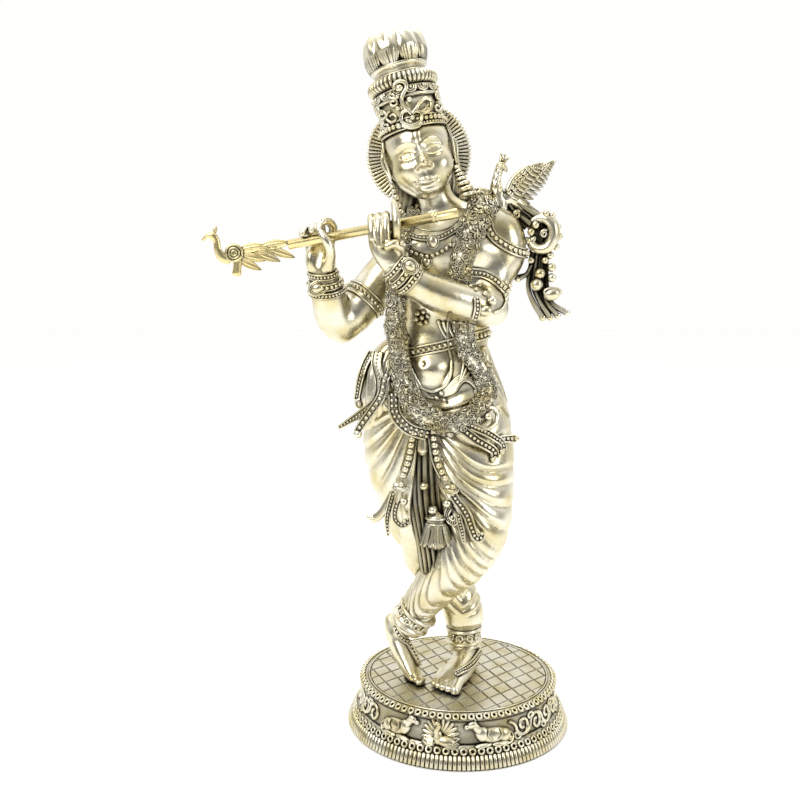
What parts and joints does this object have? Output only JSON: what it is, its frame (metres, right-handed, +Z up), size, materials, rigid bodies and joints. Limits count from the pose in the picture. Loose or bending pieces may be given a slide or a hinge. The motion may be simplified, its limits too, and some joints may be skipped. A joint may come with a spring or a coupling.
{
  "type": "flute player statue",
  "caption": "Cast-brass standing figure with a tall crown, halo, garland and shoulder peacock, playing a flute cross-legged on a round relief plinth.",
  "frame": {"origin": "centre of the plinth's flat underside", "axes": "+Z up through the figure, -Y towards the viewer that the figure faces, +X to that viewer's right"},
  "size_m": [0.4299, 0.276, 0.8284],
  "materials": {
    "antique_brass": "polished high spots, dark patina in the recesses",
    "flute_brass": "polished, warmer in tone than the figure"
  },
  "bodies": {
    "root": {"plinth": "antique_brass", "figure": "antique_brass", "flute": "flute_brass"}
  },
  "joints": []
}
